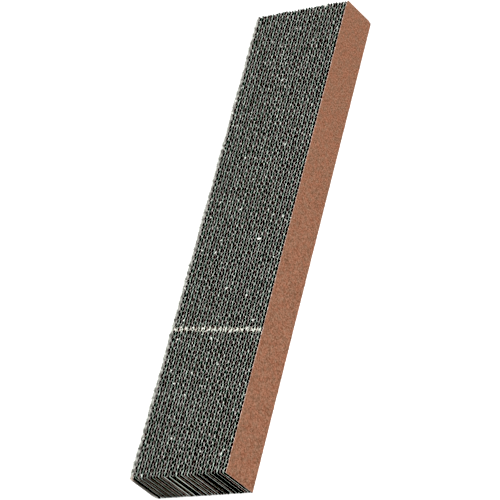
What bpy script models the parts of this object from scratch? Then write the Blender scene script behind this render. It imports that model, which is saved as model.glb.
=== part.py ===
"""Laminated corrugated-board pad, in metres, +Z up, lying flat with its open flutes facing up and down.

Strips of single-face board stand on edge and are glued on one another along X. A strip is a fluted medium
with a liner on its +X side. C-flute strips with a kraft liner and B-flute strips with a white liner take
turns, and a C-flute strip is the first and the last. So the first strip's medium stays uncovered on the -X
side, and the last strip's kraft liner is the pad's closed +X side.
The origin is under the middle of the pad, on the face it rests on.
"""

import bmesh
import bpy

# Driving dimensions
LENGTH = 0.470  # along Y, across the flutes
DEPTH = 0.0385  # along Z, which is the length of every flute
B_STRIPS = 16
LINER = 0.0003  # caliper of a liner
MEDIUM = 0.00025  # caliper of a fluted medium
B_STRIP = 0.00295  # thickness of a B-flute strip in the pad, with its liner
C_STRIP = 0.00325  # thickness of a C-flute strip in the pad, with its liner
SPRING_BACK = 0.00065  # how much prouder the uncovered medium stands, as no neighbour presses on it
GAP = 0.0003  # clearance between neighbouring sheets, where the real ones are glued

# The uncovered medium's flutes
UNCOVERED_FLUTES = 61
CREST_SHARE = 0.2  # share of a flute's pitch that each flat crest and each flat root takes

# The middle B-flute strips are one solid each, medium and liner together, so that the pad has 60 solids.
JOINED_STRIPS = range(6, 12)

PAIR = B_STRIP + C_STRIP
WIDTH = B_STRIPS * PAIR + C_STRIP + SPRING_BACK

KRAFT = (0.352, 0.166, 0.102)
WHITE = (0.56, 0.60, 0.55)
GREY = (0.26, 0.25, 0.22)

# A medium's cross-section, as (x, z) corners about its middle line
CORNERS = ((-MEDIUM / 2, 0), (MEDIUM / 2, 0), (MEDIUM / 2, DEPTH), (-MEDIUM / 2, DEPTH))


def clear_objects():
    for obj in list(bpy.data.objects):
        bpy.data.objects.remove(obj)


def paper_material(name, colour, roughness):
    material = bpy.data.materials.new(name)
    material.use_nodes = True
    shader = material.node_tree.nodes["Principled BSDF"]
    shader.inputs["Base Color"].default_value = (*colour, 1.0)
    shader.inputs["Roughness"].default_value = roughness
    shader.inputs["Metallic"].default_value = 0.0
    return material


def flat_mesh(name, thickness):
    """A flat strip of that thickness, as long and as deep as the pad, on the pad's bottom face."""
    shape = bmesh.new()
    bmesh.ops.create_cube(shape, size=1)
    bmesh.ops.scale(shape, vec=(thickness, LENGTH, DEPTH), verts=shape.verts)
    bmesh.ops.translate(shape, vec=(0, 0, DEPTH / 2), verts=shape.verts)
    mesh = bpy.data.meshes.new(name)
    shape.to_mesh(mesh)
    shape.free()
    return mesh


def flute_line(thickness, flutes):
    """The (x, y) bends of a fluted medium's middle line, with flat crests and flat roots."""
    pitch = LENGTH / flutes
    reach = (thickness - MEDIUM) / 2
    bends = [(-reach, -LENGTH / 2)]
    for flute in range(flutes):
        start = -LENGTH / 2 + flute * pitch
        bends += [
            (-reach, start + pitch * CREST_SHARE / 2),
            (reach, start + pitch * (0.5 - CREST_SHARE / 2)),
            (reach, start + pitch * (0.5 + CREST_SHARE / 2)),
            (-reach, start + pitch * (1 - CREST_SHARE / 2)),
        ]
    return [*bends, (-reach, LENGTH / 2)]


def fluted_mesh(name, thickness):
    """The uncovered medium, of that thickness over its flutes, as long and as deep as the pad."""
    shape = bmesh.new()
    rings = [
        [shape.verts.new((x + dx, y, z)) for dx, z in CORNERS]
        for x, y in flute_line(thickness, UNCOVERED_FLUTES)
    ]
    for ring, following in zip(rings, rings[1:]):
        for i, corner in enumerate(ring):
            j = (i + 1) % len(ring)
            shape.faces.new((corner, ring[j], following[j], following[i]))
    shape.faces.new(reversed(rings[0]))
    shape.faces.new(rings[-1])
    bmesh.ops.recalc_face_normals(shape, faces=shape.faces)
    mesh = bpy.data.meshes.new(name)
    shape.to_mesh(mesh)
    shape.free()
    return mesh


def add_sheet(name, low, high, pad, material, make_mesh=flat_mesh):
    """An object for one sheet that lies between two X places, with its origin at the sheet's middle."""
    mesh = make_mesh(name, high - low)
    mesh.materials.append(material)
    sheet = bpy.data.objects.new(name, mesh)
    bpy.context.scene.collection.objects.link(sheet)
    sheet.location = ((low + high) / 2, 0, 0)
    sheet.parent = pad


def add_c_strip(number, pad, papers):
    """The C-flute strip of that number, whose right face ends a pair of strips."""
    right = WIDTH / 2 - (B_STRIPS + 1 - number) * PAIR
    add_sheet(f"kraft_liner_{number:02d}", right - LINER, right, pad, papers["kraft"])
    name, high = f"c_flute_medium_{number:02d}", right - LINER - GAP
    if number == 1:
        add_sheet(name, -WIDTH / 2, high, pad, papers["grey"], fluted_mesh)
    else:
        add_sheet(name, right - C_STRIP + GAP, high, pad, papers["grey"])


def add_b_strip(number, pad, papers):
    """The B-flute strip of that number, which lies on the C-flute strip of the same number."""
    right = WIDTH / 2 - (B_STRIPS + 1 - number) * PAIR + B_STRIP
    left = right - B_STRIP + GAP
    if number in JOINED_STRIPS:
        add_sheet(f"b_flute_web_{number:02d}", left, right, pad, papers["white"])
        return
    add_sheet(f"b_flute_medium_{number:02d}", left, right - LINER - GAP, pad, papers["grey"])
    add_sheet(f"white_liner_{number:02d}", right - LINER, right, pad, papers["white"])


def main():
    clear_objects()
    papers = {
        "kraft": paper_material("kraft_liner", KRAFT, 0.9),
        "white": paper_material("white_liner", WHITE, 0.9),
        "grey": paper_material("fluted_medium", GREY, 0.95),
    }
    pad = bpy.data.objects.new("pad", None)
    bpy.context.scene.collection.objects.link(pad)
    for number in range(1, B_STRIPS + 2):
        add_c_strip(number, pad, papers)
    for number in range(1, B_STRIPS + 1):
        add_b_strip(number, pad, papers)


main()
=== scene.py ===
"""Looks of the laminated corrugated cardboard pad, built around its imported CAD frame.

The CAD holds each sheet's place, with plain slabs where the flutes are. Here every sheet is its own piece of
paper: flat liners that bow a little, and mediums with their true waves. Each sheet has two walls, cut edges
with frayed rims, and two ends. Three small pieces add the scraps, the loose fibres and the torn corner.
Everything is in metres, in the row frame: +Y along the pad, +X towards its closed kraft side, +Z up.
"""

import math
from dataclasses import dataclass

import bpy
import numpy as np
from mathutils import Euler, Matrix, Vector


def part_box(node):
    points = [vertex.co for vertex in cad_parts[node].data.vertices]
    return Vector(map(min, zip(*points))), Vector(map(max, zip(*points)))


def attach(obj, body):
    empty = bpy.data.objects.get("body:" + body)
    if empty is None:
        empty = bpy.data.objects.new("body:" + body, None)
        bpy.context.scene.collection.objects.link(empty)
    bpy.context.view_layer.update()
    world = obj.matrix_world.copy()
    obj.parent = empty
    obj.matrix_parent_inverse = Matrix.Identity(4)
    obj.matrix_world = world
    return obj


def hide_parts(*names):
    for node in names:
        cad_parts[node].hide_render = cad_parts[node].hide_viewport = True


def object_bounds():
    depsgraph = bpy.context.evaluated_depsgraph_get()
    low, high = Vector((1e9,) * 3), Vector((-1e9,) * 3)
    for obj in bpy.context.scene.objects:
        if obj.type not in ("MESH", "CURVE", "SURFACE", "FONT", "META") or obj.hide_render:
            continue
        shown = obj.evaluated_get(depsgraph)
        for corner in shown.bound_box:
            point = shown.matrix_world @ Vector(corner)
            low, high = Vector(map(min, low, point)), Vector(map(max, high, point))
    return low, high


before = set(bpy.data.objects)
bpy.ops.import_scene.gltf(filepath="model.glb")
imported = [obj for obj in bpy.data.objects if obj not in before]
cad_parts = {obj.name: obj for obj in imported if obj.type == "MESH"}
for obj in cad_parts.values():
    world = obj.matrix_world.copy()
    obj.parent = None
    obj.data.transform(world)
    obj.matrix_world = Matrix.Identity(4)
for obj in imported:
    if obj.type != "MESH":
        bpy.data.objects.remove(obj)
pad_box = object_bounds()
liner_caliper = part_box("kraft_liner_01")[1].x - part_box("kraft_liner_01")[0].x

MM = 0.001
SEED = 41
STRIPS = 17  # C-flute strips, each with a kraft liner; the B-flute strips between them are one fewer

# Flutes. A start is how far from the -Y end the first strip's medium touches the sheet on its -X side.
# A shift is how much further along +Y the next strip of its kind does.
B_PITCH, B_START, B_SHIFT = 6.28 * MM, 1.0 * MM, -1.07 * MM
C_PITCH, C_START, C_SHIFT = 7.76 * MM, 6.97 * MM, -2.67 * MM
SHIFT_SPREAD = 0.45 * MM  # how far a strip strays from that
DRIFT = 0.03  # how far its flutes drift along the pad, over their pitch
FLANK_STEEPNESS = 1.9  # near 0 the profile is a sine, and above it the flanks are steeper
CREST_LOSS = 0.06  # share of a flute's reach that is lost where its crests are flattened
CREST_GAP = 0.01 * MM  # between a crest and the sheet that it is glued to
STEPS_PER_FLUTE = 16
MEDIUM = 0.24 * MM  # caliper of a fluted medium

LINER_STEP = 1.2 * MM  # between a liner's points
LINER_BOW = 0.05 * MM  # how far it bows out of its plane
KRAFT_SLIP = 0.16 * MM  # how much nearer to -X the kraft liners lie than in the CAD, on crushed C flutes
FIRST_LINER_SLIP = 0.15 * MM  # the same for the first one
FIRST_LINER_RIPPLE = 0.45 * MM  # how far it bulges between the next strip's flutes
FLARE, FLARE_LENGTH = 0.3 * MM, 9 * MM  # how far its -Y end bends outward
NEAR_SPREAD, SPREAD_POWER = 0.75 * MM, 2.0  # how far each of the pad's two sides spreads at the -Y end

# The uncovered medium on the -X side stands a little prouder at the -Y end, and its rims are crushed outward.
UNCOVERED_FAR, UNCOVERED_NEAR = 0.2 * MM, -1.4 * MM  # its crests' X at the +Y and the -Y end, from the CAD's
UNCOVERED_POWER = 2.2  # the higher it is, the nearer to the -Y end they go from the first to the second
UNCOVERED_WANDER = 0.3 * MM  # how far they stray from that
UNCOVERED_DEPTHS = (0.0, 0.6 * MM, 1.6 * MM, 3.2 * MM, 6.0 * MM)
UNCOVERED_RIM, RIM_LUMPS = 3.6, 0.45  # how many calipers wider its rim is than other mediums', and how lumpy
CRUSHED_LINE, LINE_LUMPS = 0.6 * MM, 0.3  # how far behind the crests the crushed rims lie, and how lumpy
CRUSHED, CRUSHED_DEPTH, CRUSHED_POWER = 0.9, 6 * MM, 1.5  # share of the way to that line, and how far down

# Cut edges. Depths are how far from the cut each row of a sheet's vertices lies. Widths of rims and ends are
# over the caliper.
ROW_DEPTHS = (0.0, 0.5 * MM, 2.5 * MM)
FRAY_LEAST, FRAY_MOST = 0.5, 1.6  # how much a rim's width varies along it
FRAY_SIDE, FRAY_HEIGHT = 0.05 * MM, 0.10 * MM
LINER_RIM = {"kraft": 0.95, "white": 1.15}
SIDE_RIM = 1.5  # the last kraft liner's
FLANK_RIM = 0.8  # a medium's, between its crests
CREST_RIM = {"b": (1.3, 2.5), "c": (0.7, 0.4)}  # what its crests on the -X and the +X side add to that
CREST_POWER = 6  # the higher it is, the shorter is the stretch that a crest widens
END_RIM = {"white": (0.8, 2.8), "kraft": (0.4, 1.5), "medium": (0.5, 1.0)}  # least and most, at the ends
STRIP_STEP = 0.10 * MM  # how far a whole sheet stands above or below its neighbours
STRIP_SLIP = 0.3 * MM  # how far a whole sheet's ends lie in front of or behind its neighbours'
LEAN = 0.006  # how far a sheet slants along the pad, over its height
LIT_DEPTH = 0.6 * MM  # how far down from each cut a sheet's walls get painted light
OUTER_LIT_DEPTH = 6 * MM  # the same on the uncovered medium and beside it

# The band where something pressed across the top: its middle at the two sides, measured from the -Y end
BAND_LEFT, BAND_RIGHT = 144.5 * MM, 134.1 * MM
BAND_HALF_WIDTH, BAND_LEAST = 2.3 * MM, 0.3 * MM
BAND_RAGGED = 0.45  # how much its width varies
BAND_FADE = 1.6  # how far over full strength its middle is, so that it fades only near its borders
PRESSED_WIDER, PRESSED_SIDE, PRESSED_DOWN = 2.2, 0.25 * MM, 0.3 * MM  # what it does to the rims
PRESSED_WHITE = (0.86, 0.93, 0.80)  # colours of the cut edges in it
PRESSED_MEDIUM = (0.82, 0.84, 0.72)
PRESSED_KRAFT = (0.60, 0.44, 0.40)

# The largest pale scraps on the top face: distance from the -X side, distance from the -Y end and length, in
# mm, and turn in degrees
LARGE_SCRAPS = (
    (73, 227, 5.6, 0),
    (27, 218, 3.6, 60),
    (37, 98, 3.4, 130),
    (51, 180, 3.6, 20),
    (74, 322, 3.2, 95),
    (20, 89, 3.2, 150),
    (93, 18, 3.2, 75),
    (32, 314, 3.0, 110),
    (51, 393, 3.2, 40),
    (90, 145, 3.6, 10),
    (36, 77, 3.0, 120),
    (93, 360, 3.0, 100),
    (17, 270, 2.8, 80),
    (30, 230, 2.8, 35),
    (79, 468, 4.0, 85),
)
SCRAP_THICKNESS, SCRAP_HEIGHT = 0.2 * MM, 0.2 * MM  # a height is over the top face
# Smaller flakes and fibres, scattered over the top face, along the uncovered medium's rim, and in the band
FLAKE_THICKNESS, FLAKE_HEIGHT = 0.09 * MM, 0.05 * MM
TOP_FLAKES, RIM_FLAKES, BAND_FLAKES = 90, 120, 3  # the last is for each B-flute strip
FIBRE_THICKNESS, RIM_FIBRE_THICKNESS, FIBRE_ROOT = 0.1 * MM, 0.14 * MM, -0.1 * MM
TOP_FIBRES, RIM_FIBRES = 500, 1100

# The first kraft liner's torn corner: its length along the pad, its height, and how far it is folded out
TORN_LENGTH, TORN_HEIGHT, TORN_FOLD = 7.5 * MM, 6 * MM, 2.2 * MM
TORN_SLIP = 0.9 * MM  # how far outside the liner's CAD place it starts
TORN_AHEAD, TORN_ABOVE = 0.4 * MM, 0.2 * MM  # how far in front of the pad and above it the corner reaches
TORN_RAGGED = 0.2 * MM

# The kraft side's corners at the +Y end that are worn round
WORN_BOTTOM, WORN_TOP = 4.5 * MM, 2.0 * MM
WORN_REACH = 20 * MM

ROUGHNESS_LEAST, ROUGHNESS_MOST = 0.82, 0.98

# Camera: where its axis meets the top face, and how it looks there
AIM = Vector((14.47, -19.1, 38.6)) * MM
VIEW_DISTANCE = 2.52
VIEW_AZIMUTH = 54.04  # from looking along +Y towards looking along -X, in degrees
VIEW_ELEVATION = 41.32
VIEW_ROLL = 49.59
LENS = 209.7
BLACK_LEVEL, WHITE_LEVEL = 0.026, 0.87  # scene-linear values that the picture shows as black and white

FLOOR_SIZE, FLOOR_GAP, FLOOR_GLOW = 12, 0.05 * MM, 0.5
SURROUND_STRENGTH = 0.42
KEY_PLACE, KEY_SIZE, KEY_POWER = Vector((0.5, -0.2, 2.2)), 0.9, 38


# ---------------------------------------------------------------- materials


class Nodes:
    """A material's node tree, with a short way to add and link its nodes."""

    def __init__(self, name):
        self.material = bpy.data.materials.new(name)
        self.material.use_nodes = True
        self.tree = self.material.node_tree
        self.shader = self.tree.nodes["Principled BSDF"]
        self.place = self.add("ShaderNodeTexCoord").outputs["Object"]

    def add(self, kind, **settings):
        node = self.tree.nodes.new(kind)
        for name, value in settings.items():
            setattr(node, name, value)
        return node

    def link(self, source, target):
        self.tree.links.new(source, target)

    def split_place(self):
        """The place's X, Y and Z outputs."""
        parts = self.add("ShaderNodeSeparateXYZ")
        self.link(self.place, parts.inputs["Vector"])
        return parts.outputs

    def noise(self, scale, detail=4.0, roughness=0.6, stretch=(1, 1, 1)):
        """Noise of that many cells per metre. stretch divides the cells' number along each axis."""
        mapping = self.add("ShaderNodeMapping")
        mapping.inputs["Scale"].default_value = tuple(1 / s for s in stretch)
        self.link(self.place, mapping.inputs["Vector"])
        noise = self.add("ShaderNodeTexNoise")
        noise.inputs["Scale"].default_value = scale
        noise.inputs["Detail"].default_value = detail
        noise.inputs["Roughness"].default_value = roughness
        self.link(mapping.outputs["Vector"], noise.inputs["Vector"])
        return noise.outputs["Fac"]

    def ramp(self, value, *stops):
        """A colour ramp over value. Each stop is (position, colour)."""
        ramp = self.add("ShaderNodeValToRGB")
        elements = ramp.color_ramp.elements
        while len(elements) < len(stops):
            elements.new(0.5)
        for element, (position, colour) in zip(elements, stops):
            element.position = position
            element.color = (*colour, 1.0)
        self.link(value, ramp.inputs["Fac"])
        return ramp.outputs["Color"]

    def math(self, operation, first, second):
        """The result of one operation on two values, each a number or an output."""
        node = self.add("ShaderNodeMath", operation=operation)
        for socket, value in zip(node.inputs, (first, second)):
            if isinstance(value, (int, float)):
                socket.default_value = value
            else:
                self.link(value, socket)
        return node.outputs["Value"]

    def mix(self, share, first, second, blend="MIX"):
        """Two colours mixed by share, which is a number or an output."""
        node = self.add("ShaderNodeMix", data_type="RGBA", blend_type=blend)
        sockets = {s.identifier: s for s in node.inputs}
        for name, value in (("Factor_Float", share), ("A_Color", first), ("B_Color", second)):
            if isinstance(value, (int, float)):
                sockets[name].default_value = value
            elif isinstance(value, tuple):
                sockets[name].default_value = (*value, 1.0)
            else:
                self.link(value, sockets[name])
        return next(s for s in node.outputs if s.identifier == "Result_Color")

    def bump(self, height, strength, distance):
        bump = self.add("ShaderNodeBump")
        bump.inputs["Strength"].default_value = strength
        bump.inputs["Distance"].default_value = distance
        self.link(height, bump.inputs["Height"])
        self.link(bump.outputs["Normal"], self.shader.inputs["Normal"])

    def finish(self, colour, roughness, specular=0.25):
        """Colour into the shader, and a roughness that follows an output from its least to its most."""
        self.link(colour, self.shader.inputs["Base Color"])
        spread = self.add("ShaderNodeMapRange")
        spread.inputs["To Min"].default_value = ROUGHNESS_LEAST
        spread.inputs["To Max"].default_value = ROUGHNESS_MOST
        self.link(roughness, spread.inputs["Value"])
        self.link(spread.outputs["Result"], self.shader.inputs["Roughness"])
        self.shader.inputs["Specular IOR Level"].default_value = specular
        return self.material


def scaled(colour, by):
    return tuple(v * by for v in colour)


def kraft_face_material():
    """The outer face of the last kraft liner: mottled brown with fine fibres and a few dark specks."""
    nodes = Nodes("kraft_face")
    grain = nodes.noise(700, detail=5, roughness=0.8)
    colour = nodes.ramp(grain, (0.38, (0.140, 0.050, 0.026)), (0.62, (0.458, 0.239, 0.154)))
    blotches = nodes.noise(240, detail=4)
    tint = nodes.ramp(blotches, (0.38, (0.91, 1.02, 1.04)), (0.62, (1.07, 0.98, 0.96)))
    colour = nodes.mix(1.0, colour, tint, "MULTIPLY")
    fibres = nodes.noise(2600, detail=3, roughness=0.7, stretch=(1, 5, 1))
    shade = nodes.ramp(fibres, (0.3, (0.86, 0.86, 0.86)), (0.7, (1.12, 1.12, 1.12)))
    colour = nodes.mix(1.0, colour, shade, "MULTIPLY")
    specks = nodes.ramp(nodes.noise(900, detail=1, roughness=0.4), (0.73, (0, 0, 0)), (0.78, (1, 1, 1)))
    colour = nodes.mix(specks, colour, (0.1431, 0.0711, 0.0432))
    nodes.bump(fibres, 0.35, 0.05 * MM)
    return nodes.finish(colour, blotches)


def wall_material(name, base, rim, lit_depth=LIT_DEPTH):
    """The flat sides of a sheet inside the pad: the base colour deep down, and painted light in the rim
    colour near the cut edges, broken up by noise.
    """
    nodes = Nodes(name)
    low, high = pad_box
    blotches = nodes.noise(500, detail=4, stretch=(1, 1, 4))
    colour = nodes.ramp(blotches, (0.3, scaled(base, 0.7)), (0.7, scaled(base, 1.35)))
    height = nodes.split_place()["Z"]
    from_middle = nodes.math("ABSOLUTE", nodes.math("SUBTRACT", height, (low.z + high.z) / 2), 0)
    half = (high.z - low.z) / 2
    # painted light: within that depth of either cut the walls turn from the base colour to the rim colour
    painted_light_near_cut = nodes.math("DIVIDE", nodes.math("SUBTRACT", from_middle, half - lit_depth), lit_depth)
    # noise that breaks the painted light up into patches
    torn = nodes.math("MULTIPLY", nodes.noise(1500, detail=2), 1.6)
    painted_light_near_cut = nodes.math("MULTIPLY", nodes.math("MAXIMUM", painted_light_near_cut, 0.0), torn)
    colour = nodes.mix(nodes.math("MINIMUM", painted_light_near_cut, 1.0), colour, rim)
    fibres = nodes.noise(2500, detail=2, stretch=(1, 1, 3))
    nodes.bump(fibres, 0.3, 0.04 * MM)
    return nodes.finish(colour, blotches, specular=0.04)


def band_mask(nodes):
    """1 where the pressed band crosses the pad's upper half, ragged at its borders, and 0 elsewhere."""
    low, high = pad_box
    slope = (BAND_RIGHT - BAND_LEFT) / (high.x - low.x)
    place = nodes.split_place()
    middle = nodes.math("MULTIPLY_ADD", place["X"], slope)
    middle.node.inputs[2].default_value = low.y + BAND_LEFT - slope * low.x
    away = nodes.math("ABSOLUTE", nodes.math("SUBTRACT", place["Y"], middle), 0)
    ragged = nodes.math("MULTIPLY", nodes.noise(700, detail=2), 2 * BAND_HALF_WIDTH)
    inside = nodes.math("SUBTRACT", BAND_FADE, nodes.math("DIVIDE", away, ragged))
    inside = nodes.math("MINIMUM", nodes.math("MAXIMUM", inside, 0.0), 1.0)
    upper = nodes.math("GREATER_THAN", place["Z"], (low.z + high.z) / 2)
    return nodes.math("MULTIPLY", inside, upper)


def edge_material(name, base, pale, pressed):
    """A sheet's cut edge: fibres of its own colour, paler torn ones, and a pressed colour in the band."""
    nodes = Nodes(name)
    cells = nodes.noise(640, detail=3, roughness=0.7)
    colour = nodes.ramp(cells, (0.37, scaled(base, 0.4)), (0.50, base), (0.63, pale))
    colour = nodes.mix(band_mask(nodes), colour, pressed)
    fibres = nodes.noise(5200, detail=2)
    nodes.bump(fibres, 0.5, 0.05 * MM)
    return nodes.finish(colour, cells)


def flake_material():
    """Paper torn to pale fibres."""
    nodes = Nodes("pale_fibre")
    patches = nodes.noise(900, detail=3)
    colour = nodes.ramp(patches, (0.35, (0.74, 0.77, 0.70)), (0.65, (0.93, 0.95, 0.90)))
    fibres = nodes.noise(4200, detail=2)
    nodes.bump(fibres, 0.5, 0.05 * MM)
    return nodes.finish(colour, patches)


def make_papers():
    """The materials of each kind of sheet: its left wall, right wall, cut edges and ends."""
    kraft_edge = edge_material("kraft_edge", (0.33, 0.25, 0.245), (0.72, 0.54, 0.55), PRESSED_KRAFT)
    # partly the last kraft liner's own paler cut edge, partly a painted highlight: much paler than the other
    # kraft liners' edges
    side_edge = edge_material("kraft_side_edge", (0.70, 0.47, 0.39), (0.88, 0.68, 0.60), PRESSED_KRAFT)
    white_edge = edge_material("white_edge", (0.37, 0.53, 0.44), (0.78, 0.97, 0.86), PRESSED_WHITE)
    medium_edge = edge_material("medium_edge", (0.52, 0.53, 0.48), (0.95, 0.96, 0.90), PRESSED_MEDIUM)
    kraft_end = edge_material("kraft_end", (0.66, 0.50, 0.45), (0.92, 0.80, 0.74), PRESSED_KRAFT)
    white_end = edge_material("white_end", (0.76, 0.86, 0.76), (0.95, 0.98, 0.94), PRESSED_WHITE)
    # painted shade: the mediums' ends are coloured much darker than their cut edges
    medium_end = edge_material("medium_end", (0.10, 0.10, 0.09), (0.42, 0.42, 0.38), PRESSED_MEDIUM)
    # painted shade: the walls inside the pad are near black, for the shade deep in the flutes; their paler
    # rim colours near the cuts are painted light
    kraft_wall = wall_material("kraft_wall", (0.006, 0.006, 0.006), (0.160, 0.142, 0.133))
    white_wall = wall_material("white_wall", (0.008, 0.011, 0.009), (0.100, 0.118, 0.102))
    medium_wall = wall_material("medium_wall", (0.008, 0.008, 0.007), (0.060, 0.060, 0.055))
    # partly the uncovered medium's own pale grey paper, partly painted light: made paler for light through
    # the thin paper, and paler still near the cuts
    outer_wall = wall_material("uncovered_medium", (0.42, 0.42, 0.38), (0.72, 0.73, 0.68), OUTER_LIT_DEPTH)
    # painted light: the walls of the hollows beside the uncovered medium, the first kraft liner's -X side
    # among them, are near white near the cuts for light through the thin paper, and darker deeper down as
    # painted shade
    hollow_wall = wall_material("hollow_wall", (0.16, 0.16, 0.14), (0.88, 0.90, 0.84), OUTER_LIT_DEPTH)
    outer_edge = edge_material("uncovered_edge", (0.66, 0.66, 0.61), (0.95, 0.96, 0.92), PRESSED_WHITE)
    return {
        "kraft": (kraft_wall, kraft_wall, kraft_edge, kraft_end),
        "first_kraft": (hollow_wall, kraft_wall, kraft_edge, kraft_end),
        "last_kraft": (kraft_wall, kraft_face_material(), side_edge, side_edge),
        "white": (white_wall, white_wall, white_edge, white_end),
        "medium": (medium_wall, medium_wall, medium_edge, medium_end),
        "first_medium": (outer_wall, hollow_wall, outer_edge, medium_end),
    }


# ---------------------------------------------------------------- places and waves


def wander(rng, size, longest, shortest, waves=6):
    """A smooth random curve of about that size, as a function, made of waves between the two lengths."""
    lengths = np.geomspace(longest, shortest, waves)
    starts = rng.random(waves)
    heights = rng.normal(size=waves) * size / math.sqrt(waves / 2)

    def curve(along):
        turns = np.asarray(along)[..., None] / lengths + starts
        return (np.sin(math.tau * turns) * heights).sum(-1)

    return curve


# How ragged the pressed band is, how the uncovered medium's crests stray, and how lumpy its crushed rims are
band_ragged = wander(np.random.default_rng((SEED, 102)), 1.0, 0.2, 0.01, waves=8)
crest_wander = wander(np.random.default_rng((SEED, 103)), 1.0, 0.06, 0.008)
rim_lumps = wander(np.random.default_rng((SEED, 104)), 1.0, 0.014, 0.0025, waves=8)


def flute_wave(turns):
    """A flute's side-to-side profile from -1 at whole turns to 1: rounded crests and straight flanks."""
    return np.tanh(-FLANK_STEEPNESS * np.cos(math.tau * turns)) / math.tanh(FLANK_STEEPNESS)


def from_far_end(y):
    """0 at the +Y end, 1 at the -Y end."""
    low, high = pad_box
    return (high.y - y) / (high.y - low.y)


def uncovered_crests(y):
    """How far towards +X the uncovered medium's crests are from their CAD place."""
    proud = UNCOVERED_FAR + (UNCOVERED_NEAR - UNCOVERED_FAR) * from_far_end(y) ** UNCOVERED_POWER
    return proud + UNCOVERED_WANDER * crest_wander(y)


def spread(x, y):
    """How far the pad's strips have moved outward at that place."""
    low, high = pad_box
    from_middle = (2 * x - low.x - high.x) / (high.x - low.x)
    return NEAR_SPREAD * from_middle * from_far_end(y) ** SPREAD_POWER


def flare(y):
    """How far towards -X the first strip's -Y end is bent."""
    return FLARE * np.clip(1 - (y - pad_box[0].y) / FLARE_LENGTH, 0, 1) ** 2


def band_middle(x):
    """Y in the middle of the pressed band across the top face."""
    low, high = pad_box
    across = (x - low.x) / (high.x - low.x)
    return low.y + BAND_LEFT + (BAND_RIGHT - BAND_LEFT) * across


def band_share(x, y):
    """1 in the middle of the pressed band, 0 outside it."""
    ragged = BAND_HALF_WIDTH * (1 + BAND_RAGGED * band_ragged(y * 3 + x * 5))
    away = np.abs(y - band_middle(x)) / np.maximum(ragged, BAND_LEAST)
    return np.clip(BAND_FADE - BAND_FADE * away, 0, 1)


def worn(x, y, radius):
    """How far an edge along the kraft side is worn away near the +Y end, where it is round to that radius."""
    high = pad_box[1]
    near = np.clip(1 - (high.x - x) / WORN_REACH, 0, 1)
    into = np.clip(radius - (high.y - y), 0, radius)
    return near * (radius - np.sqrt(np.maximum(radius**2 - into**2, 0)))


def liner_bow(rng):
    """How far a liner bows out of its plane along its length."""
    return wander(rng, LINER_BOW, 0.12, 0.02)


def first_liner_bow(y):
    """The same for the first kraft liner, which the saw has bent between the next strip's flutes."""
    turns = (y - pad_box[0].y - B_START) / B_PITCH
    return -FIRST_LINER_SLIP - FIRST_LINER_RIPPLE * (1 - np.cos(math.tau * turns)) / 2


def face(x, bow):
    """A sheet's face at x plus bow, as a function of y."""
    return lambda y: x + bow(y)


# ---------------------------------------------------------------- sheets


@dataclass
class Cut:
    """How a sheet is made and cut. Widths are over its caliper."""

    caliper: float
    swell: float | np.ndarray  # how much wider the rims are than the walls, everywhere or at each point
    end_rim: tuple  # the least and the most width of its two ends
    depths: tuple = ROW_DEPTHS
    crushed_to: np.ndarray | None = None  # at each point, the X place that the rims are crushed towards


def sheet_row(x, y, depth, top, step, ends, cut, rng):
    """A row of a sheet's points, at that depth below its top cut or above its bottom cut.

    step is how far the sheet stands above its neighbours, and ends are how much wider its two ends are.
    Returns each point's X, its height, half its width and its shift to the right of the line.
    """
    low, high = pad_box
    count = len(x)
    wide = np.full(count, cut.caliper / 2)
    side = rng.normal(size=count) * (FRAY_SIDE if depth == 0 else FRAY_SIDE / 3)
    z = np.full(count, high.z - depth + step) if top else np.full(count, low.z + depth)
    wide[[0, -1]] *= ends
    if depth == 0:
        wide *= cut.swell * rng.uniform(FRAY_LEAST, FRAY_MOST, count)
        ragged = rng.normal(size=count) * FRAY_HEIGHT
        z += ragged - worn(x, y, WORN_TOP) if top else np.abs(ragged) + worn(x, y, WORN_BOTTOM)
        if top:
            pressed = band_share(x, y)
            wide *= 1 + PRESSED_WIDER * pressed * rng.random(count)
            side += pressed * rng.normal(size=count) * PRESSED_SIDE
            z -= pressed * PRESSED_DOWN
    elif top:
        z = np.minimum(z, high.z + step - worn(x, y, WORN_TOP) - depth / 3)
    else:
        z = np.maximum(z, low.z + worn(x, y, WORN_BOTTOM) + depth / 3)
    if cut.crushed_to is not None:
        x = x + (cut.crushed_to - x) * CRUSHED * max(1 - depth / CRUSHED_DEPTH, 0) ** CRUSHED_POWER
    return x, z, wide, side


def sheet_faces(count, rows):
    """A sheet's faces and, for each one, its kind: 0 left wall, 1 right wall, 2 cut edge and 3 end.

    Its vertices are numbered point by point along the sheet: first those on the left, from the bottom row to
    the top one, and then those on the right.
    """
    index = np.arange(count * 2 * rows).reshape(count, 2, rows)
    left, right = index[:, 0], index[:, 1]

    def quads(*corners):
        return np.stack(corners, -1).reshape(-1, 4)

    faces = [
        quads(left[:-1, :-1], left[:-1, 1:], left[1:, 1:], left[1:, :-1]),
        quads(right[:-1, :-1], right[1:, :-1], right[1:, 1:], right[:-1, 1:]),
        quads(left[:-1, -1], right[:-1, -1], right[1:, -1], left[1:, -1]),
        quads(left[:-1, 0], left[1:, 0], right[1:, 0], right[:-1, 0]),
        quads(left[0, :-1], right[0, :-1], right[0, 1:], left[0, 1:]),
        quads(left[-1, :-1], left[-1, 1:], right[-1, 1:], right[-1, :-1]),
    ]
    kinds = [np.full(len(f), kind) for f, kind in zip(faces, (0, 1, 2, 2, 3, 3))]
    return np.concatenate(faces), np.concatenate(kinds)


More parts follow.
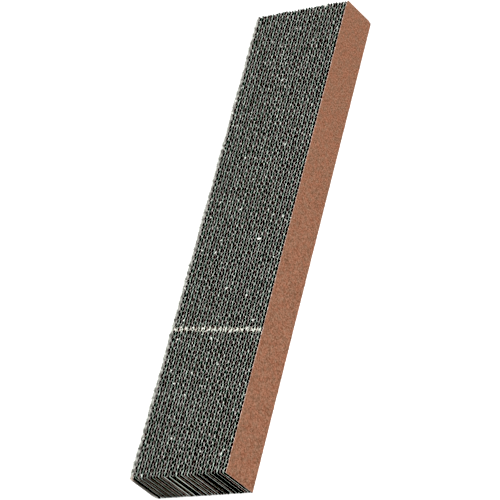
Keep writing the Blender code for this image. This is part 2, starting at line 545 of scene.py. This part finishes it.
def sheet_mesh(name, x, y, cut, rng, lean):
    """A closed strip of paper that follows the line (x, y) and stands as deep as the pad.

    lean is its slant along Y per metre of height. Returns the mesh and each face's kind.
    """
    x = x + spread(x, y)
    step = rng.normal() * STRIP_STEP
    ends = rng.uniform(*cut.end_rim, 2)
    y = y + rng.normal() * STRIP_SLIP
    along = np.stack([np.gradient(x), np.gradient(y)], 1)
    along /= np.linalg.norm(along, axis=1)[:, None]
    normal = np.stack([along[:, 1], -along[:, 0]], 1)  # to the right of the line
    rows = [(depth, False) for depth in cut.depths] + [(depth, True) for depth in reversed(cut.depths)]
    points = np.empty((len(x), 2, len(rows), 3))
    for row, (depth, top) in enumerate(rows):
        row_x, z, wide, side = sheet_row(x, y, depth, top, step, ends, cut, rng)
        line = np.stack([row_x, y + lean * (z - pad_box[0].z)], 1)
        for hand, sign in enumerate((-1, 1)):
            points[:, hand, row, :2] = line + normal * (side + sign * wide)[:, None]
            points[:, hand, row, 2] = z
    faces, kinds = sheet_faces(len(x), len(rows))
    mesh = bpy.data.meshes.new(name)
    mesh.from_pydata(points.reshape(-1, 3).tolist(), [], faces.tolist())
    mesh.shade_smooth()
    mesh.set_sharp_from_angle(angle=math.radians(40))
    return mesh, kinds


def add_piece(name, mesh):
    piece = bpy.data.objects.new(name, mesh)
    bpy.context.scene.collection.objects.link(piece)
    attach(piece, "root")
    return piece


def add_sheet(name, x, y, cut, rng, papers, node):
    """One sheet's piece. papers are the materials of its left wall, right wall, cut edges and ends."""
    mesh, kinds = sheet_mesh(name, x, y, cut, rng, lean=rng.normal() * LEAN)
    for paper in papers:
        mesh.materials.append(paper)
    mesh.polygons.foreach_set("material_index", kinds.astype(np.int32))
    piece = add_piece(name, mesh)
    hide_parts(node)


def add_liner(kind, number, x, bow, node, papers, rng):
    """A liner whose middle line is at x plus bow."""
    low, high = pad_box
    y = np.linspace(low.y, high.y, round((high.y - low.y) / LINER_STEP) + 1)
    place = x + bow(y) - (flare(y) if number == 1 and kind == "kraft" else 0)
    name = f"sheet_{kind}_liner_{number:02d}"
    cut = Cut(liner_caliper, SIDE_RIM if number == STRIPS else LINER_RIM[kind], END_RIM[kind])
    add_sheet(name, place, y, cut, rng, papers, node)


def add_medium(kind, number, left, right, node, papers, rng):
    """A fluted medium between two faces, which are functions of y."""
    low, high = pad_box
    pitch, start, shift = (B_PITCH, B_START, B_SHIFT) if kind == "b" else (C_PITCH, C_START, C_SHIFT)
    y = np.linspace(low.y, high.y, round((high.y - low.y) / pitch * STEPS_PER_FLUTE) + 1)
    drift = wander(rng, DRIFT, 0.20, 0.012, waves=8)
    touch = low.y + start + shift * (number - 1) + rng.normal() * SHIFT_SPREAD
    wave = flute_wave((y - touch) / pitch + drift(y))
    reach = (right(y) - left(y) - MEDIUM) / 2 - CREST_GAP
    reach *= 1 - CREST_LOSS * np.abs(wander(rng, 1, 0.05, 0.006)(y))
    x = (left(y) + right(y)) / 2 + reach * wave
    crest_rim = np.where(wave < 0, *CREST_RIM[kind])
    cut = Cut(MEDIUM, FLANK_RIM + crest_rim * wave**CREST_POWER, END_RIM["medium"])
    if kind == "c" and number == 1:
        cut.swell += UNCOVERED_RIM * np.clip(1 + RIM_LUMPS * rim_lumps(y), 0.1, 2)
        cut.depths = UNCOVERED_DEPTHS
        cut.crushed_to = left(y) + CRUSHED_LINE * (1 + LINE_LUMPS * rim_lumps(y + 0.1))
    add_sheet(f"sheet_{kind}_medium_{number:02d}", x, y, cut, rng, papers, node)


def add_c_strip(number, left, papers, rng):
    """The C-flute strip of that number, on the face left. Returns its own right face."""
    medium_node, liner_node = f"c_flute_medium_{number:02d}", f"kraft_liner_{number:02d}"
    low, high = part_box(liner_node)
    medium_kind, liner_kind = "medium", "kraft"
    if number == 1:
        bow = first_liner_bow
        medium_kind, liner_kind = "first_medium", "first_kraft"
    elif number == STRIPS:
        bow = np.zeros_like
        liner_kind = "last_kraft"
    else:
        bow = face(-KRAFT_SLIP, liner_bow(rng))
    add_medium("c", number, left, face(low.x, bow), medium_node, papers[medium_kind], rng)
    add_liner("kraft", number, (low.x + high.x) / 2, bow, liner_node, papers[liner_kind], rng)
    return face(high.x, bow)


def add_b_strip(number, left, papers, rng):
    """The B-flute strip of that number, on the face left. Returns its own right face."""
    medium_node, liner_node = f"b_flute_medium_{number:02d}", f"white_liner_{number:02d}"
    web = f"b_flute_web_{number:02d}"
    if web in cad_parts:  # there the CAD has the medium and its liner in one node
        medium_node = liner_node = web
    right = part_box(liner_node)[1].x
    bow = liner_bow(rng)
    liner_left = face(right - liner_caliper, bow)
    add_medium("b", number, left, liner_left, medium_node, papers["medium"], rng)
    add_liner("white", number, right - liner_caliper / 2, bow, liner_node, papers["white"], rng)
    return face(right, bow)


def build_sheets():
    """All the sheets from -X to +X, each placed from its CAD node."""
    papers = make_papers()
    left = face(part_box("c_flute_medium_01")[0].x, uncovered_crests)
    for number in range(1, STRIPS + 1):
        rng = np.random.default_rng((SEED, number))
        left = add_c_strip(number, left, papers, rng)
        if number < STRIPS:
            left = add_b_strip(number, left, papers, rng)


# ---------------------------------------------------------------- scraps and fibres


def turned(points, angle):
    """The points turned about Z."""
    cos, sin = math.cos(angle), math.sin(angle)
    return points @ np.array([[cos, sin, 0], [-sin, cos, 0], [0, 0, 1]])


def flake_shape(rng, centre, size):
    """A small curled scrap with an uneven outline round its middle. Vertices and faces."""
    count = 7
    angles = (np.arange(count) + rng.random(count) * 0.6) * math.tau / count
    reach = size / 2 * (0.55 + 0.6 * rng.random(count))
    turn = rng.random() * math.tau
    long_side = 1 + rng.random()
    x, y = reach * np.cos(angles) * long_side, reach * np.sin(angles)
    curl = (rng.random() - 0.3) * 0.9 * (x * x) / size
    tilt = rng.normal() * 0.35
    z = curl + tilt * y + np.abs(rng.normal(size=count)) * 0.06 * size
    outline = np.stack([x, y, z], 1)
    middle = [[0, 0, 0.08 * size]]
    top = turned(np.concatenate([outline, middle]), turn) + centre
    bottom = top - (0, 0, FLAKE_THICKNESS)
    below = len(top)
    faces = []
    for i in range(count):
        j = (i + 1) % count
        faces.append((i, j, count))
        faces.append((below + j, below + i, below + count))
        faces.append((j, i, below + i, below + j))
    return np.concatenate([top, bottom]), faces


def crescent_shape(centre, length, turn):
    """A scrap torn off in an arc that bulges towards -Y before it is turned. Vertices and faces."""
    count = 9
    across = np.linspace(-1, 1, count)
    arc = (1 - across**2) * length
    outer = np.stack([across * length / 2, -0.34 * arc, 0.05 * arc], 1)
    inner = np.stack([across * length / 2, -0.02 * arc + 0.01 * length, 0.10 * arc], 1)
    top = turned(np.concatenate([outer, inner]), turn) + centre
    bottom = top - (0, 0, SCRAP_THICKNESS)
    below = len(top)
    faces = []
    for i in range(count - 1):
        faces.append((i, i + 1, count + i + 1, count + i))
        faces.append((below + i + 1, below + i, below + count + i, below + count + i + 1))
    ring = [*range(count), *range(below - 1, count - 1, -1)]
    for a, b in zip(ring, ring[1:] + ring[:1]):
        faces.append((b, a, below + a, below + b))
    return np.concatenate([top, bottom]), faces


def fibre_shape(rng, root, length, thickness):
    """A short bent fibre that stands on a cut edge: a three-sided tapering tube. Vertices and faces."""
    heading = rng.random() * math.tau
    lean = 0.5 + 0.9 * rng.random()
    bend = rng.normal() * 0.8
    parts, sides = 3, 3
    points = [np.array(root)]
    for part in range(parts):
        slope = lean + part * 0.35
        turn = heading + bend * part
        flat = math.sin(slope)
        direction = np.array([math.cos(turn) * flat, math.sin(turn) * flat, math.cos(slope)])
        points.append(points[-1] + direction * length / parts)
    verts, faces = [], []
    for i, point in enumerate(points):
        radius = thickness / 2 * (1 - 0.22 * i)
        for k in range(sides):
            angle = k * math.tau / sides
            verts.append(point + radius * np.array([math.cos(angle), math.sin(angle), 0]))
        if i:
            for k in range(sides):
                a, b = sides * (i - 1) + k, sides * (i - 1) + (k + 1) % sides
                faces.append((a, b, b + sides, a + sides))
    faces.append((2, 1, 0))
    last = sides * parts
    faces.append((last, last + 1, last + 2))
    return np.array(verts), faces


def place_on_top(rng, height):
    """A random place at that height over the top face."""
    low, high = pad_box
    return rng.uniform(low.x, high.x), rng.uniform(low.y, high.y), high.z + height


def joined_mesh(name, shapes, material):
    """One mesh of many small closed shapes."""
    verts, faces, start = [], [], 0
    for points, sides in shapes:
        verts.append(points)
        faces += [tuple(start + i for i in side) for side in sides]
        start += len(points)
    mesh = bpy.data.meshes.new(name)
    mesh.from_pydata(np.concatenate(verts).tolist(), [], faces)
    mesh.materials.append(material)
    mesh.shade_smooth()
    mesh.set_sharp_from_angle(angle=math.radians(50))
    return mesh


def build_flakes(material):
    """Pale scraps on the top face: scattered, along the uncovered medium's rim, and in the pressed band."""
    low, high = pad_box
    rng = np.random.default_rng((SEED, 100))
    shapes = []
    for x, y, length, turn in LARGE_SCRAPS:
        place = (low.x + x * MM, low.y + y * MM, high.z + SCRAP_HEIGHT)
        shapes.append(crescent_shape(place, length * MM, math.radians(turn)))
    for _ in range(TOP_FLAKES):
        place = place_on_top(rng, FLAKE_HEIGHT)
        shapes.append(flake_shape(rng, place, rng.uniform(0.7, 1.6) * MM))
    for _ in range(RIM_FLAKES):
        y = rng.uniform(low.y, high.y)
        crest, liner = low.x + uncovered_crests(y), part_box("kraft_liner_01")[0].x - FIRST_LINER_SLIP
        place = (rng.uniform(crest, liner), y, high.z - rng.uniform(0.2, 2.0) * MM)
        shapes.append(flake_shape(rng, place, rng.uniform(0.9, 2.2) * MM))
    for strip in BAND_FLAKES * [*range(1, STRIPS)]:
        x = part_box(f"kraft_liner_{strip:02d}")[1].x + rng.uniform(0.2, 3.0) * MM
        y = band_middle(x) + rng.normal() * BAND_HALF_WIDTH * 0.5
        shapes.append(flake_shape(rng, (x, y, high.z - 0.1 * MM), rng.uniform(0.8, 1.6) * MM))
    add_piece("paper_flakes", joined_mesh("paper_flakes", shapes, material))


def build_fibres(material):
    """Fine pale fibres that stand out of the top face, thickest along the uncovered medium."""
    low, high = pad_box
    rng = np.random.default_rng((SEED, 101))
    shapes = []
    for _ in range(TOP_FIBRES):
        root = place_on_top(rng, FIBRE_ROOT)
        shapes.append(fibre_shape(rng, root, rng.uniform(0.6, 1.8) * MM, FIBRE_THICKNESS))
    for _ in range(RIM_FIBRES):
        y = rng.uniform(low.y, high.y)
        crest, liner = low.x + uncovered_crests(y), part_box("kraft_liner_01")[0].x
        root = (rng.uniform(crest, liner) - flare(y), y, high.z - rng.uniform(0.1, 0.9) * MM)
        shapes.append(fibre_shape(rng, root, rng.uniform(0.9, 2.4) * MM, RIM_FIBRE_THICKNESS))
    add_piece("torn_fibres", joined_mesh("torn_fibres", shapes, material))


def build_torn_corner(material):
    """The first kraft liner's top corner at the -Y end, torn and folded out over the uncovered medium."""
    low, high = pad_box
    steps = np.linspace(0, 1, 7)
    along, up = (grid.ravel() for grid in np.meshgrid(steps, steps, indexing="ij"))
    rng = np.random.default_rng((SEED, 105))
    folded = TORN_FOLD * up**1.5 * (1 - along) ** 0.5 * (1 + 0.15 * rng.normal(size=len(up)))
    narrowing = 1 - 0.4 * up**2
    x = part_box("kraft_liner_01")[0].x - TORN_SLIP - folded
    y = low.y - TORN_AHEAD + TORN_LENGTH * along * narrowing + TORN_RAGGED * rng.normal(size=len(up))
    z = high.z + TORN_ABOVE - TORN_HEIGHT * (1 - up) - 0.35 * folded
    front = np.stack([x, y, z], 1)
    back = front - (liner_caliper, 0, 0)
    count, behind = len(steps), len(front)
    index = np.arange(behind).reshape(count, count)
    quads = np.stack([index[:-1, :-1], index[1:, :-1], index[1:, 1:], index[:-1, 1:]], -1)
    faces = [tuple(quad) for quad in quads.reshape(-1, 4).tolist()]
    faces += [tuple(behind + i for i in reversed(quad)) for quad in faces]
    ring = [*index[:, 0], *index[-1, 1:], *index[-2::-1, -1], *index[0, -2:0:-1]]
    faces += [(b, a, behind + a, behind + b) for a, b in zip(ring, ring[1:] + ring[:1])]
    shape = (np.concatenate([front, back]), faces)
    add_piece("torn_corner", joined_mesh("torn_corner", [shape], material))


# ---------------------------------------------------------------- studio


def outside_pad(nodes):
    """1 on the floor around the pad, and 0 under it."""
    low, high = pad_box
    place = nodes.split_place()
    beyond = []
    for axis, least, most in (("X", low.x, high.x), ("Y", low.y, high.y)):
        away = nodes.math("ABSOLUTE", nodes.math("SUBTRACT", place[axis], (least + most) / 2), 0)
        beyond.append(nodes.math("GREATER_THAN", away, (most - least) / 2))
    return nodes.math("MAXIMUM", *beyond)


def build_floor():
    """A wide pale floor with a weak glow, which stops under the pad as painted shade."""
    bpy.ops.mesh.primitive_plane_add(size=FLOOR_SIZE, location=(0, 0, -FLOOR_GAP))
    floor = bpy.context.object
    floor.name = "floor"
    nodes = Nodes("pale_floor")
    colour = nodes.ramp(nodes.noise(3), (0.3, (0.74, 0.74, 0.74)), (0.7, (0.77, 0.77, 0.77)))
    nodes.finish(colour, nodes.noise(5))
    nodes.shader.inputs["Emission Color"].default_value = (1, 1, 1, 1)
    # painted shade: the glow is cut off under the pad, so the floor seen down the flutes is dark
    glow = nodes.math("MULTIPLY", outside_pad(nodes), FLOOR_GLOW)
    nodes.link(glow, nodes.shader.inputs["Emission Strength"])
    floor.data.materials.append(nodes.material)


def build_lights():
    """A pale surround and one soft light from above."""
    world = bpy.data.worlds.new("studio")
    world.use_nodes = True
    background = world.node_tree.nodes["Background"]
    background.inputs["Color"].default_value = (1, 1, 1, 1)
    background.inputs["Strength"].default_value = SURROUND_STRENGTH
    bpy.context.scene.world = world
    data = bpy.data.lights.new("key", "AREA")
    data.shape = "DISK"
    data.size = KEY_SIZE
    data.energy = KEY_POWER
    key = bpy.data.objects.new("key", data)
    bpy.context.scene.collection.objects.link(key)
    key.location = KEY_PLACE
    key.rotation_euler = (-KEY_PLACE).to_track_quat("-Z", "Y").to_euler()


def build_camera():
    """The camera, and the view's black and white levels."""
    data = bpy.data.cameras.new("camera")
    data.lens = LENS
    data.clip_start, data.clip_end = 0.05, 50
    camera = bpy.data.objects.new("camera", data)
    bpy.context.scene.collection.objects.link(camera)
    turn, rise = math.radians(VIEW_AZIMUTH), math.radians(VIEW_ELEVATION)
    back = Vector((math.sin(turn) * math.cos(rise), -math.cos(turn) * math.cos(rise), math.sin(rise)))
    camera.location = AIM + back * VIEW_DISTANCE
    upright = (-back).to_track_quat("-Z", "Y")
    camera.rotation_mode = "QUATERNION"
    camera.rotation_quaternion = upright @ Euler((0, 0, math.radians(-VIEW_ROLL))).to_quaternion()
    bpy.context.scene.camera = camera
    view = bpy.context.scene.view_settings
    view.view_transform = "Standard"
    view.use_curve_mapping = True
    view.curve_mapping.black_level = (BLACK_LEVEL,) * 3
    view.curve_mapping.white_level = (WHITE_LEVEL,) * 3
    view.curve_mapping.update()


# ---------------------------------------------------------------- main

build_sheets()
pale_fibre = flake_material()
build_flakes(pale_fibre)
build_fibres(pale_fibre)
build_torn_corner(edge_material("torn_kraft", (0.62, 0.47, 0.40), (0.88, 0.74, 0.66), PRESSED_KRAFT))
build_floor()
build_lights()
build_camera()
